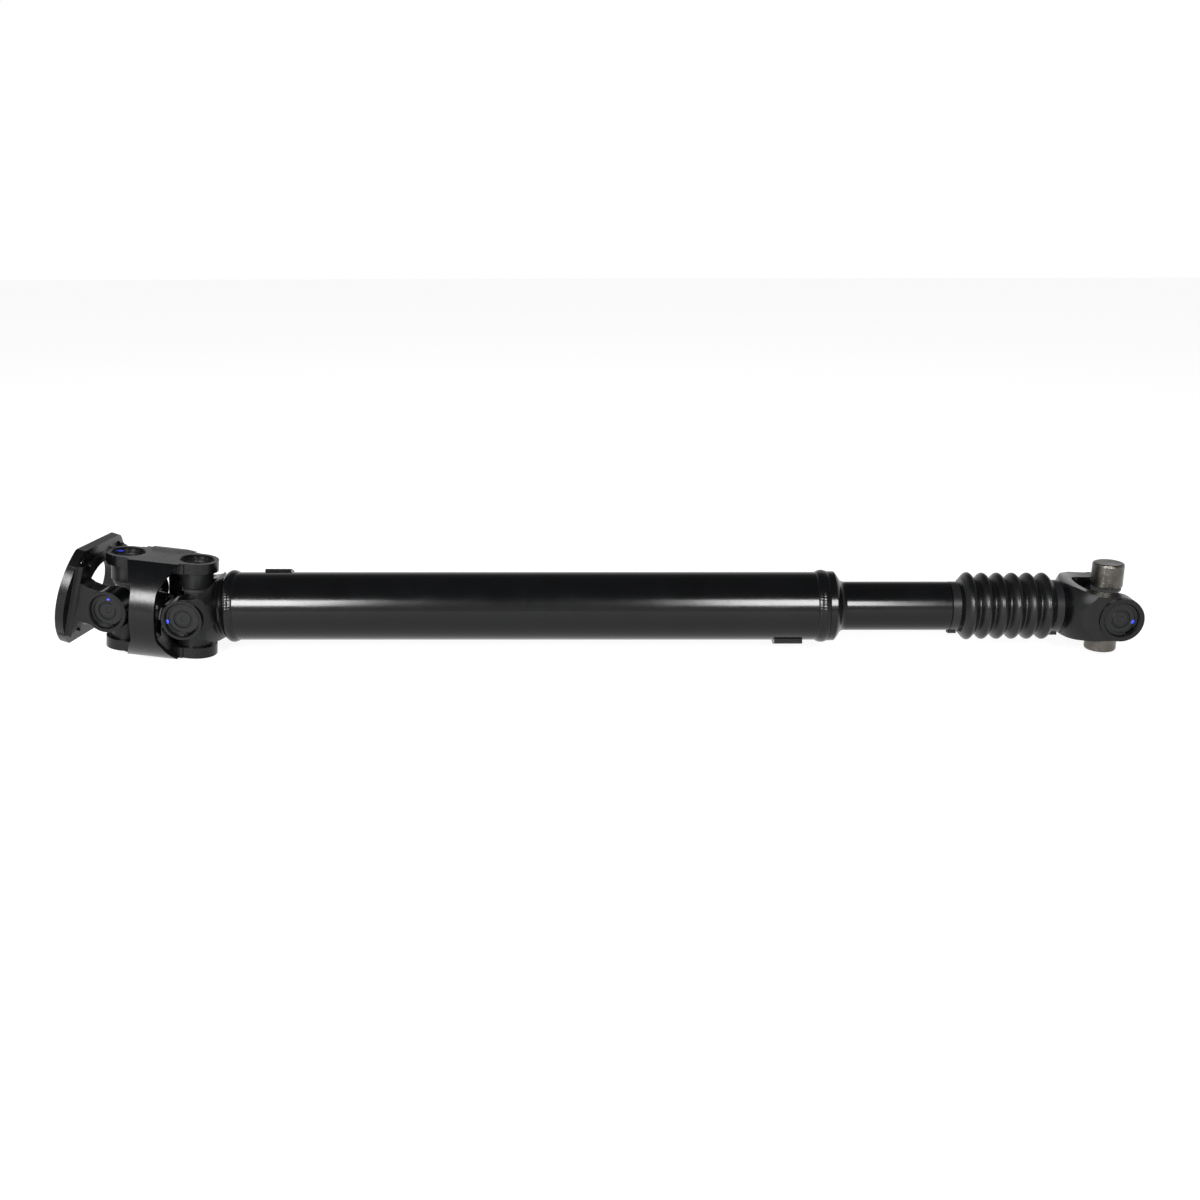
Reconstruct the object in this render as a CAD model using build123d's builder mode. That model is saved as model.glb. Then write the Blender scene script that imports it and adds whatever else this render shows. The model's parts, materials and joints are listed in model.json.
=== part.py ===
"""Universal joint shaft: a double-cardan driveshaft with a four-bolt flange, a splined
slip section under a rubber boot and a single cross at the axle end.

Millimetres. X runs along the shaft from the flange to the axle end, Y goes away from the
viewer, Z is up. The origin is under the middle of the whole assembly, on the floor.
The double joint is drawn at its resting bend; every piece is drawn straight in its own
frame and then placed by the frame of the joint it hangs on."""
import os
from build123d import *

os.makedirs("parts", exist_ok=True)

# ---- placement -------------------------------------------------------------------------
shaft_y = -7.4            # shaft axis in Y
shaft_z = 49.0            # shaft axis above the floor
rear_cross_x = -374.4     # rear cross of the double joint
end_cross_x = 473.6       # single cross at the axle end
cross_spacing = 65.1      # between the two crosses of the double joint
rear_pitch = 5.81         # resting bend, rear cross, about Y
rear_yaw = -2.9           # resting bend, rear cross, about Z
front_yaw = -3.06         # resting bend, front cross, about Z
front_pitch = 10.11       # resting bend, front cross, about Y

# ---- shaft tube ------------------------------------------------------------------------
tube_od = 63.5
tube_wall = 2.1
tube_start = 36.0         # from the rear cross
tube_end = 582.6          # from the rear cross
bead_height = 2.2         # weld bead over the tube

# ---- cross and cups --------------------------------------------------------------------
cup_od = 30.16
free_cup_od = 28.58       # the two bare cups at the axle end
cup_bore = 24.3
cup_inner = 20.0          # cup skirt end, from the cross centre
cup_outer = 41.7          # cup outer face, from the cross centre
cup_floor = 4.2
trunnion_d = 19.5
needle_gap = 0.05
trunnion_end = cup_outer - cup_floor - 0.05
ring_groove_d = 32.4      # snap-ring groove in the ears
ring_inner_d = 25.8
ring_t = 1.5

# ---- yokes -----------------------------------------------------------------------------
ear_face = 46.9           # outer face of an ear, from the cross centre
ear_inner = 27.0
ear_r = 18.6              # shaft yoke ear radius
flange_ear_r = 19.2
ear_boss = 2.3           # how far an ear boss stands out from its arm
slip_ear_face = 46.6
slip_ear_r = 20.2
link_face = 45.6          # coupling yoke flat faces
link_plate = 10.0
link_r = 52.0             # outside of the coupling ring
link_bore_r = 47.3
link_ear_r = 19.6
link_half = 21.7
band_half = 11.4          # half width of the ring at its side
arch_r = 16.0             # inner corners of the side openings
arch_top = 24.0           # where an arch reaches the top face, from the middle of the ring
link_waist = 21.0         # half width of the top face beside the arches

# ---- flange ----------------------------------------------------------------------------
flange_face = 41.1        # mounting face, from the front cross
flange_t = 7.9
flange_r = 57.9
flange_flat = 45.56
hub_t = 13.1              # plate plus raised hub round the bore
flange_bore_r = 29.2
pilot_r = 34.93           # pilot recess, 69.85 mm across
pilot_depth = 2.5
bolt_circle = 95.25
bolt_hole_d = 11.3

# ---- slip section ----------------------------------------------------------------------
sleeve_od = 45.4
sleeve_collar_x = 215.1
sleeve_neck_x = 231.9
sleeve_end_x = 342.0
cuff_seat_r = 20.4
cuff_start_x = 327.3
spline_n = 16
spline_major = 32.0
spline_minor = 27.8
spline_tooth = 3.0
spline_play = 0.05
stub_start_x = 255.0
stub_seat_r = 21.6        # rear cuff seat on the slip yoke
rear_cuff_x0 = 420.9
rear_cuff_x1 = 430.2
fork_start = -42.5        # base of the slip-yoke fork, from the end cross

# ---- boot ------------------------------------------------------------------------------
crest_n = 6
crest_x0 = 345.0          # first crest
crest_pitch = 13.98
crest_r = 31.0
valley_r = 25.8
boot_wall = 1.6
clamp_w = 8.0
clamp_t = 0.8

fitting_way = (0.32, -0.67, -0.67)   # direction of the socket grease fitting, from the socket axis

# ---- frames ----------------------------------------------------------------------------
shaft_at = Pos(0, shaft_y, shaft_z)
rear_at = Pos(rear_cross_x, shaft_y, shaft_z)
rear_cross_at = rear_at * Rot(0, rear_pitch, 0)
link_at = rear_cross_at * Rot(0, 0, rear_yaw) * Pos(-cross_spacing / 2, 0, 0)
front_cross_at = link_at * Pos(-cross_spacing / 2, 0, 0) * Rot(0, 0, front_yaw)
flange_at = front_cross_at * Rot(0, front_pitch, 0)
end_at = Pos(end_cross_x, shaft_y, shaft_z)

cup_r = cup_od / 2
free_r = free_cup_od / 2
tube_r = tube_od / 2


# ======== shapes used at more than one joint, each drawn about its own cross centre ========
with BuildPart() as cup_unit:                      # one cup, along +Z
    with BuildSketch(Plane.XZ) as cup_section:
        with BuildLine():
            Polyline((0, cup_outer - 0.9), (2.2, cup_outer - 0.9), (2.6, cup_outer - 0.5), (6.6, cup_outer - 0.5),
                     (7.2, cup_outer - 1.1), (8.2, cup_outer - 1.1), (8.8, cup_outer), (cup_r - 1.6, cup_outer),
                     (cup_r - 0.5, cup_outer - 0.45), (cup_r, cup_outer - 1.6), (cup_r, cup_inner + 0.5),
                     (cup_r - 0.5, cup_inner), (cup_bore / 2, cup_inner),
                     (cup_bore / 2, cup_outer - cup_floor), (0, cup_outer - cup_floor), close=True)
        make_face()
    revolve(axis=Axis.Z)

with BuildPart() as free_cup_unit:                 # a bare cup of the end cross, along +Z
    with BuildSketch(Plane.XZ):
        with BuildLine():
            Polyline((0, cup_outer), (free_r - 1.9, cup_outer), (free_r - 0.6, cup_outer - 0.5), (free_r, cup_outer - 1.9),
                     (free_r, cup_inner + 0.5), (free_r - 0.5, cup_inner), (cup_bore / 2, cup_inner),
                     (cup_bore / 2, cup_outer - cup_floor), (0, cup_outer - cup_floor), close=True)
        make_face()
    revolve(axis=Axis.Z)

with BuildPart() as ring_unit:                     # one snap ring, along +Z, open on one side
    with BuildSketch(Plane.XY.offset(cup_outer)):
        Circle(ring_groove_d / 2)
        Circle(ring_inner_d / 2, mode=Mode.SUBTRACT)
        with Locations((ring_groove_d / 2, 0)):
            Rectangle(12, 9, mode=Mode.SUBTRACT)
        for side in (1, -1):
            with Locations((13.0, side * 6.2)):
                Circle(1.7)
                Circle(0.8, mode=Mode.SUBTRACT)
    extrude(amount=ring_t)

with BuildPart() as spider_unit:                   # cross body: trunnions along Y and Z
    Sphere(13.6)
    Box(19, 25, 25, mode=Mode.INTERSECT)
    for turn in (0, 90, 180, 270):
        with BuildSketch(Plane(origin=(0, 0, 0), x_dir=(1, 0, 0), z_dir=(0, 0, 1)).rotated((turn, 0, 0)).offset(6)):
            Circle(11.6)
        extrude(amount=9.6)
        with BuildSketch(Plane(origin=(0, 0, 0), x_dir=(1, 0, 0), z_dir=(0, 0, 1)).rotated((turn, 0, 0)).offset(6)):
            Circle(trunnion_d / 2)
        extrude(amount=trunnion_end - 6)
    chamfer(spider_unit.edges().filter_by(GeomType.CIRCLE).filter_by(
        lambda e: max(abs(e.center().Y), abs(e.center().Z)) > trunnion_end - 0.1), length=0.8)

with BuildPart() as seal_unit:                     # lip seal on a trunnion, along +Z
    with BuildSketch(Plane.XZ):
        Polygon((trunnion_d / 2, 15.6), (12.6, 15.6), (13.3, 16.6), (13.3, 18.6), (12.2, 19.6), (trunnion_d / 2, 19.6), align=None)
    revolve(axis=Axis.Z)

with BuildPart() as needle_unit:                   # needle set as one cage ring, along +Z
    with BuildSketch(Plane.XY.offset(22.0)):
        Circle(cup_bore / 2 - needle_gap)
        Circle(trunnion_d / 2, mode=Mode.SUBTRACT)
    extrude(amount=14.5)

with BuildPart() as zerk_unit:                     # grease fitting standing on the XY plane
    with BuildSketch(Plane.XZ):
        Polygon((0, 0), (2.6, 0), (2.6, 2.4), (1.5, 2.9), (1.5, 4.3), (2.0, 4.8), (2.0, 5.6), (1.2, 6.6), (0, 6.6), align=None)
    revolve(axis=Axis.Z)

to_y = Rot(-90, 0, 0)                              # +Z to +Y
to_ny = Rot(90, 0, 0)                              # +Z to -Y
to_nz = Rot(180, 0, 0)


# ======== shaft tube and the pieces welded to it ========
with BuildPart() as main_tube_local:
    with BuildSketch(Plane.YZ.offset(tube_start)):
        Circle(tube_r)
        Circle(tube_r - tube_wall, mode=Mode.SUBTRACT)
    extrude(amount=tube_end - tube_start)
with BuildPart() as main_tube:
    add(main_tube_local.part.moved(rear_at))

with BuildPart() as shaft_yoke_local:
    with BuildSketch(Plane.XY):                    # plan
        with BuildLine():
            Polyline((-ear_r, ear_inner), (17.5, ear_inner), (20.2, 22), (21.6, 12), (22, 0))
            Polyline((22, 0), (30, 0), (30, 28.0), (27.0, 28.6), (23.8, 33.0), (19.5, 39.4), (14.0, 43.2), (7.0, ear_face - ear_boss), (-ear_r, ear_face - ear_boss), (-ear_r, ear_inner))
        make_face()
        mirror(about=Plane.XZ)
    extrude(amount=34, both=True)
    with BuildSketch(Plane.XZ) as side:            # side
        Circle(ear_r)
        Polygon((0, ear_r), (8, ear_r - 0.2), (17, 20.5), (22.5, 26.5), (24.0, 28.2), (30, 28.2), (30, -28.2), (24.0, -28.2), (22.5, -26.5), (17, -20.5), (8, -ear_r + 0.2), (0, -ear_r), align=None)
    extrude(amount=60, both=True, mode=Mode.INTERSECT)
    with BuildSketch(Plane.XY) as barrel_limit:    # turned limit: round barrel behind the fork
        Polygon((-30, 0), (-30, 51), (8, 51), (14, 48.0), (19, 42.5), (22.5, 36.5), (25.5, 31.5), (28.0, 28.7), (29.2, 28.0), (30, 28.0), (30, 0), align=None)
    revolve(axis=Axis.X, mode=Mode.INTERSECT)
    with BuildSketch(Plane.XY) as barrel_section:
        Polygon((21.8, 0), (21.8, 26.6), (23.4, 27.9), (30.0, 28.0), (tube_start, 30.2), (tube_start, tube_r - tube_wall), (tube_start + 16, tube_r - tube_wall), (tube_start + 16, 22), (27, 18), (27, 0), align=None)
    revolve(axis=Axis.X)
    for start in (ear_inner, -ear_face):           # raised round bosses of the ears
        with BuildSketch(Plane.XZ.offset(start)):
            Circle(ear_r - 0.2)
        extrude(amount=ear_face - ear_inner)
    with BuildSketch(Plane.XZ):
        Circle(cup_r)
    extrude(amount=60, both=True, mode=Mode.SUBTRACT)
    for s in (1, -1):
        with BuildSketch(Plane.XZ.offset(s * cup_outer)):
            Circle(ring_groove_d / 2)
        extrude(amount=s * ring_t, mode=Mode.SUBTRACT)
        with BuildSketch(Plane.XZ.offset(s * ear_face)):
            Circle(cup_r + 0.9)
        extrude(amount=-s * 1.2, taper=35, mode=Mode.SUBTRACT)
with BuildPart() as shaft_yoke:
    add(shaft_yoke_local.part.moved(rear_at))

with BuildPart() as yoke_bead_local:
    with BuildSketch(Plane.XY):
        with BuildLine():
            l1 = Polyline((tube_start + 5.4, tube_r), (tube_start, tube_r), (tube_start, 30.2), (30.0, 28.0), (29.2, 28.0), (29.2, 28.7))
            l2 = Spline((29.2, 28.7), (32.0, 31.6), (tube_start + 0.3, tube_r + bead_height), (tube_start + 3.4, tube_r + 1.5), (tube_start + 5.4, tube_r))
        make_face()
    revolve(axis=Axis.X)
with BuildPart() as yoke_weld_bead:
    add(yoke_bead_local.part.moved(rear_at))

with BuildPart() as slip_sleeve_drawn:
    with BuildSketch(Plane.XY):
        with BuildLine():
            a1 = Polyline((sleeve_collar_x - 18, tube_r - tube_wall), (rear_cross_x + tube_end, tube_r - tube_wall),
                          (rear_cross_x + tube_end, tube_r), (sleeve_collar_x, tube_r), (sleeve_collar_x, 32.4), (sleeve_collar_x + 5.6, 32.4))
            a2 = Spline((sleeve_collar_x + 5.6, 32.4), (sleeve_collar_x + 7.5, 30.4), (sleeve_collar_x + 9.4, 27.6), (sleeve_collar_x + 11.2, 25.0),
                        (sleeve_collar_x + 13.2, 23.4), (sleeve_neck_x, sleeve_od / 2))
            a3 = Polyline((sleeve_neck_x, sleeve_od / 2), (cuff_start_x, sleeve_od / 2), (cuff_start_x, cuff_seat_r), (sleeve_end_x, cuff_seat_r),
                          (sleeve_end_x, spline_minor / 2 + 0.05), (sleeve_collar_x + 8, spline_minor / 2 + 0.05), (sleeve_collar_x + 2, 20), (sleeve_collar_x - 18, 26),
                          (sleeve_collar_x - 18, tube_r - tube_wall))
        make_face()
    revolve(axis=Axis.X)
    with BuildSketch(Plane.YZ.offset(sleeve_collar_x + 8)):
        Circle(spline_minor / 2 + 0.05)
        with PolarLocations(0, spline_n):
            with Locations((spline_major / 4 + 3, 0)):
                Rectangle(spline_major / 2 + 0.05 - 6 + spline_major / 4, spline_tooth + 2 * spline_play)
        Circle(spline_major / 2 + spline_play, mode=Mode.INTERSECT)
    extrude(amount=sleeve_end_x - sleeve_collar_x - 8, mode=Mode.SUBTRACT)
with BuildPart() as slip_sleeve:
    add(slip_sleeve_drawn.part.moved(shaft_at))

with BuildPart() as sleeve_weld_bead_drawn:
    x0 = rear_cross_x + tube_end
    with BuildSketch(Plane.XY):
        with BuildLine():
            Spline((x0 - 4.6, tube_r), (x0 - 2.2, tube_r + 1.5), (x0 + 0.4, tube_r + bead_height), (x0 + 3.2, tube_r + 1.7), (sleeve_collar_x, 32.4))
            Polyline((sleeve_collar_x, 32.4), (sleeve_collar_x, tube_r), (x0 - 4.6, tube_r))
        make_face()
    revolve(axis=Axis.X)
with BuildPart() as sleeve_weld_bead:
    add(sleeve_weld_bead_drawn.part.moved(shaft_at))

with BuildPart() as sleeve_plug_drawn:                   # pressed disc that closes the splined bore
    with BuildSketch(Plane.XY):
        Polygon((sleeve_collar_x + 0.5, 0), (sleeve_collar_x + 0.5, 17.0), (sleeve_collar_x + 5.2, 15.2), (sleeve_collar_x + 2.0, 0), align=None)
    revolve(axis=Axis.X)
with BuildPart() as sleeve_plug:
    add(sleeve_plug_drawn.part.moved(shaft_at))

with BuildPart() as balance_weight_front_drawn:
    with BuildSketch(Plane.YZ.offset(-309.5)):
        Circle(tube_r + 2.9)
        Circle(tube_r, mode=Mode.SUBTRACT)
        with Locations(Location((0, 0), 56)):
            with Locations((40, 0)):
                Rectangle(30, 23, mode=Mode.INTERSECT)
    extrude(amount=24.3)
with BuildPart() as balance_weight_front:
    add(balance_weight_front_drawn.part.moved(shaft_at))

with BuildPart() as balance_weight_rear_drawn:
    with BuildSketch(Plane.YZ.offset(165.5)):
        Circle(tube_r + 3.9)
        Circle(tube_r, mode=Mode.SUBTRACT)
        with Locations(Location((0, 0), 262)):
            with Locations((40, 0)):
                Rectangle(30, 25, mode=Mode.INTERSECT)
    extrude(amount=26.0)
with BuildPart() as balance_weight_rear:
    add(balance_weight_rear_drawn.part.moved(shaft_at))

# ======== coupling yoke, drawn about the middle of the double joint ========
with BuildPart() as coupling_local:
    with BuildSketch(Plane.YZ.offset(-60)):        # ring section with two flats
        Circle(link_r)
        Rectangle(2 * link_r, 2 * link_face, mode=Mode.INTERSECT)
    extrude(amount=120)
    with BuildSketch(Plane.XY) as plan:
        for s in (1, -1):
            with Locations((s * cross_spacing / 2, 0)):
                Circle(link_ear_r)
        Rectangle(cross_spacing, 2 * link_ear_r)
        Rectangle(54, 2 * link_half)
        for s in (1, -1):
            Polygon((-27, s * link_half), (27, s * link_half), (19.5, s * 39), (17, s * (link_r + 1)), (-17, s * (link_r + 1)), (-19.5, s * 39), align=None)
    extrude(amount=60, both=True, mode=Mode.INTERSECT)
    with BuildSketch(Plane.YZ.offset(-60)) as bore:
        Circle(link_bore_r)
        Rectangle(2 * link_bore_r, 2 * (link_face - link_plate), mode=Mode.INTERSECT)
        fillet(bore.vertices(), radius=6)
    extrude(amount=120, mode=Mode.SUBTRACT)
    with BuildSketch(Plane.XZ):                    # arched openings at the sides
        for s in (1, -1):
            with Locations((s * (band_half + 40), 0)):
                RectangleRounded(80, 2 * (link_face - link_plate), arch_r)
    extrude(amount=60, both=True, mode=Mode.SUBTRACT)
    for s in (1, -1):                              # outer walls swept up to the ears
        with BuildSketch(Plane.XZ.offset(s * link_waist)):
            with BuildLine():
                Polyline((band_half, 0), (band_half, 9))
                Spline((band_half, 9), (13.4, 24), (17.4, 35.5), (arch_top, link_face + 1), tangents=((0, 1), (1, 1.5)))
                Polyline((arch_top, link_face + 1), (60, link_face + 1), (60, 0), (band_half, 0))
            make_face()
            mirror(about=Plane.XZ)
            mirror(about=Plane.YZ)
        extrude(amount=s * 50, mode=Mode.SUBTRACT)
    with BuildSketch(Plane.XY):
        for s in (1, -1):
            with Locations((s * cross_spacing / 2, 0)):
                Circle(cup_r)
    extrude(amount=60, both=True, mode=Mode.SUBTRACT)
    for t in (1, -1):
        with BuildSketch(Plane.XY.offset(t * cup_outer)):
            for s in (1, -1):
                with Locations((s * cross_spacing / 2, 0)):
                    Circle(ring_groove_d / 2)
        extrude(amount=t * ring_t, mode=Mode.SUBTRACT)
        with BuildSketch(Plane.XY.offset(t * link_face)):
            for s in (1, -1):
                with Locations((s * cross_spacing / 2, 0)):
                    Circle(cup_r + 0.9)
        extrude(amount=-t * 1.2, taper=35, mode=Mode.SUBTRACT)
    with BuildSketch(Plane.XZ.offset(-17.5)):      # raised step left along the far edge of the top face
        Polygon((-18, link_face - 1), (-16.6, link_face + 1.5), (14, link_face + 1.5), (21, link_face + 0.9), (22.6, link_face - 1), align=None)
    extrude(amount=-5.6)

with BuildPart() as coupling_yoke:
    add(coupling_local.part.moved(link_at))

# ======== flange yoke, drawn about the front cross, flange towards -X ========
with BuildPart() as flange_local:
    with BuildSketch(Plane.YZ.offset(-flange_face)) as flange_outline:
        Circle(flange_r)
        Rectangle(2 * flange_r, 2 * flange_flat, mode=Mode.INTERSECT)
        fillet(flange_outline.vertices(), radius=7)
    extrude(amount=flange_t)
    with BuildSketch(Plane.YZ.offset(-flange_face + flange_t)):
        Circle(flange_bore_r + 7.5)
    extrude(amount=hub_t - flange_t, taper=35)
    for s in (1, -1):                              # arms from the plate to the ears
        with BuildSketch(Plane.XY):
            Polygon((-flange_face + 2, s * 25.0), (-flange_face + 2, s * 48.0), (-flange_face + flange_t, s * 48.0), (-31.4, s * 45.6), (-28.6, s * (ear_face - ear_boss)),
                    (flange_ear_r - 2, s * (ear_face - ear_boss)), (flange_ear_r - 2, s * ear_inner), (-10, s * ear_inner), (-20, s * 26.2), (-28, s * 25.0), align=None)
        extrude(amount=34, both=True)
    with BuildSketch(Plane.XZ):
        Circle(flange_ear_r - 0.6)
        Polygon((0, 17.6), (-12, 16.8), (-22, 17.2), (-28, 19.0), (-31.4, 21.4), (-flange_face + flange_t, 24.0), (-flange_face, 24.0),
                (-flange_face, -24.0), (-flange_face + flange_t, -24.0), (-31.4, -21.4), (-28, -19.0), (-22, -17.2), (-12, -16.8), (0, -17.6), align=None)
        with Locations((-flange_face + flange_t / 2, 0)):
            Rectangle(flange_t, 2 * flange_flat)
        with Locations((-flange_face + hub_t / 2, 0)):
            Rectangle(hub_t, 76)
    extrude(amount=70, both=True, mode=Mode.INTERSECT)
    for start in (ear_inner, -ear_face):           # raised round bosses of the ears
        with BuildSketch(Plane.XZ.offset(start)):
            Circle(flange_ear_r)
        extrude(amount=ear_face - ear_inner)
    with BuildSketch(Plane.YZ.offset(-flange_face)):
        Circle(flange_bore_r)
    extrude(amount=hub_t + 6, mode=Mode.SUBTRACT)
    with BuildSketch(Plane.YZ.offset(-flange_face)):
        Circle(pilot_r)
    extrude(amount=pilot_depth, mode=Mode.SUBTRACT)
    with BuildSketch(Plane.YZ.offset(-flange_face)):
        with PolarLocations(bolt_circle / 2, 4, start_angle=45):
            Circle(bolt_hole_d / 2)
    extrude(amount=flange_t + 14, mode=Mode.SUBTRACT)
    with BuildSketch(Plane.XZ):
        Circle(cup_r)
    extrude(amount=60, both=True, mode=Mode.SUBTRACT)
    for s in (1, -1):
        with BuildSketch(Plane.XZ.offset(s * cup_outer)):
            Circle(ring_groove_d / 2)
        extrude(amount=s * ring_t, mode=Mode.SUBTRACT)
        with BuildSketch(Plane.XZ.offset(s * ear_face)):
            Circle(cup_r + 0.9)
        extrude(amount=-s * 1.2, taper=35, mode=Mode.SUBTRACT)

with BuildPart() as flange_yoke:
    add(flange_local.part.moved(flange_at))

# ======== centring device between the two crosses ========
with BuildPart() as stud_local:                    # straddles the rear cross on its side cups
    for start in (20.8, -25.6):
        with BuildSketch(Plane.XZ.offset(start)):
            Circle(17.8)
            with Locations((-10.5, 0)):
                Rectangle(21, 18)
            Circle(cup_r, mode=Mode.SUBTRACT)
        extrude(amount=4.8)
    with Locations((-19.25, 0, 0)):
        Box(3.5, 51.2, 18)
    with BuildSketch(Plane.XY):                    # stud and ball
        with BuildLine():
            Polyline((-19, 0), (-19, 4.2), (-cross_spacing / 2 + 4.961, 4.2))
            ThreePointArc((-cross_spacing / 2 + 4.961, 4.2), (-cross_spacing / 2, 6.5), (-cross_spacing / 2 - 6.0, 2.5))
            Polyline((-cross_spacing / 2 - 6.0, 2.5), (-cross_spacing / 2 - 6.0, 0), (-19, 0))
        make_face()
    revolve(axis=Axis.X)
with BuildPart() as stud_yoke:
    add(stud_local.part.moved(rear_at))

with BuildPart() as socket_local:                  # straddles the front cross on its side cups
    for start in (20.8, -25.6):
        with BuildSketch(Plane.XZ.offset(start)):
            Circle(17.8)
            with Locations((10.5, 0)):
                Rectangle(21, 18)
            Circle(cup_r, mode=Mode.SUBTRACT)
        extrude(amount=4.8)
    with Locations((19.25, 0, 0)):
        Box(3.5, 51.2, 18)
    with BuildSketch(Plane.YZ.offset(19)):
        Circle(15.6)
    extrude(amount=18.5)
    with BuildSketch(Plane(origin=(31, 0, 0), z_dir=fitting_way).offset(14)):   # boss of the grease fitting
        Circle(4.2)
    extrude(amount=14)
    with BuildSketch(Plane.YZ.offset(21)):
        Circle(12.2)
    extrude(amount=18.5, mode=Mode.SUBTRACT)
with BuildPart() as socket_yoke:
    add(socket_local.part.moved(flange_at))

with BuildPart() as socket_grease_fitting:
    add(zerk_unit.part.moved(flange_at * Plane(origin=(31, 0, 0), z_dir=fitting_way).offset(28).location))

# ======== slip yoke, drawn about the end cross ========
with BuildPart() as slip_local:
    with BuildSketch(Plane.XY):                    # plan
        with BuildLine():
            Polyline((slip_ear_r, ear_inner), (-6, ear_inner), (-18, 25.6))
            Spline((-18, 25.6), (-25.0, 20.5), (-28.7, 10.5), (-29.6, 0))
            Polyline((-29.6, 0), (fork_start, 0), (fork_start, 26.0))
            Spline((fork_start, 26.0), (-38.0, 32.5), (-31.0, 38.9), (-22.0, 43.0), (-12.0, slip_ear_face - ear_boss))
            Polyline((-12.0, slip_ear_face - ear_boss), (slip_ear_r, slip_ear_face - ear_boss), (slip_ear_r, ear_inner))
        make_face()
        mirror(about=Plane.XZ)
    extrude(amount=34, both=True)
    with BuildSketch(Plane.XZ):                    # side
        Circle(slip_ear_r)
        with BuildLine():
            Polyline((0, -slip_ear_r), (0, slip_ear_r))
            Spline((0, slip_ear_r), (-14, slip_ear_r + 0.3), (-26, slip_ear_r + 1.8), (-36, 24.4), (fork_start, 24.6))
            Polyline((fork_start, 24.6), (fork_start, -24.6))
            Spline((fork_start, -24.6), (-36, -24.4), (-26, -slip_ear_r - 1.8), (-14, -slip_ear_r - 0.3), (0, -slip_ear_r))
        make_face()
    extrude(amount=60, both=True, mode=Mode.INTERSECT)
    with BuildSketch(Plane.XY):                    # turned limit of the hub
        with BuildLine():
            Spline((fork_start, 24.6), (-39.5, 30.0), (-34.0, 37.0), (-24.0, 46.0))
            Polyline((-24.0, 46.0), (-16, 53), (30, 53), (30, 0), (fork_start, 0), (fork_start, 24.6))
        make_face()
    revolve(axis=Axis.X, mode=Mode.INTERSECT)
    for start in (ear_inner, -slip_ear_face):      # raised round bosses of the ears
        with BuildSketch(Plane.XZ.offset(start)):
            Circle(slip_ear_r - 0.25)
        extrude(amount=slip_ear_face - ear_inner)
    with BuildSketch(Plane.XY):                    # cuff seat and neck
        Polygon((fork_start + 1, 0), (fork_start + 1, 24.6), (fork_start, 24.6), (rear_cuff_x1 - end_cross_x, 23.4), (rear_cuff_x1 - end_cross_x, stub_seat_r),
                (rear_cuff_x0 - end_cross_x - 1.5, stub_seat_r), (rear_cuff_x0 - end_cross_x - 1.5, 15), (rear_cuff_x0 - end_cross_x - 4, 13), (rear_cuff_x0 - end_cross_x - 4, 0), align=None)
    revolve(axis=Axis.X)
    with BuildSketch(Plane.YZ.offset(stub_start_x - end_cross_x)):   # male splines
        Circle(spline_minor / 2)
        with PolarLocations(0, spline_n):
            with Locations((spline_major / 4, 0)):
                Rectangle(spline_major / 2, spline_tooth)
        Circle(spline_major / 2, mode=Mode.INTERSECT)
    extrude(amount=rear_cuff_x0 - stub_start_x - 3)
    with BuildSketch(Plane.XZ):
        Circle(cup_r)
    extrude(amount=60, both=True, mode=Mode.SUBTRACT)
    for s in (1, -1):
        with BuildSketch(Plane.XZ.offset(s * cup_outer)):
            Circle(ring_groove_d / 2)
        extrude(amount=s * ring_t, mode=Mode.SUBTRACT)
        with BuildSketch(Plane.XZ.offset(s * slip_ear_face)):
            Circle(cup_r + 0.9)
        extrude(amount=-s * 1.2, taper=35, mode=Mode.SUBTRACT)
with BuildPart() as slip_yoke:
    add(slip_local.part.moved(end_at))

# ======== boot and clamps ========
with BuildPart() as boot_drawn:
    cx = [crest_x0 + i * crest_pitch for i in range(crest_n)]
    outer = [(cuff_start_x + 0.2, cuff_seat_r), (cuff_start_x + 0.2, cuff_seat_r + 1.5), (cuff_start_x + clamp_w + 2.6, cuff_seat_r + 1.5), (cx[0] - 5.2, valley_r - 1.4)]
    for i, x in enumerate(cx):
        r = crest_r + (0.5 if i == 0 else 0)
        outer += [(x - 2.6, r - 0.7), (x - 1.3, r), (x + 1.3, r), (x + 2.6, r - 0.7)]
        if i < crest_n - 1:
            outer += [(x + crest_pitch / 2 - 1.1, valley_r), (x + crest_pitch / 2 + 1.1, valley_r)]
    outer += [(cx[-1] + 5.2, valley_r - 1.4), (rear_cuff_x0 - 0.6, stub_seat_r + 1.8), (rear_cuff_x1 - 0.2, stub_seat_r + 1.8), (rear_cuff_x1 - 0.2, stub_seat_r)]
    inner = [(rear_cuff_x0 - 0.9, stub_seat_r), (cx[-1] + 4.6, valley_r - 3.2)]
    for i in range(crest_n - 1, -1, -1):
        x = cx[i]
        r = crest_r + (0.5 if i == 0 else 0) - boot_wall
        inner += [(x + 1.4, r - 0.6), (x + 0.6, r), (x - 0.6, r), (x - 1.4, r - 0.6)]
        if i > 0:
            inner += [(x - crest_pitch / 2 + 0.8, valley_r - boot_wall), (x - crest_pitch / 2 - 0.8, valley_r - boot_wall)]
    inner += [(cx[0] - 4.6, valley_r - 3.2), (cuff_start_x + clamp_w + 3.4, cuff_seat_r)]
    with BuildSketch(Plane.XY):
        Polygon(*outer, *inner, align=None)
    revolve(axis=Axis.X)
with BuildPart() as boot:
    add(boot_drawn.part.moved(shaft_at))

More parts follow.
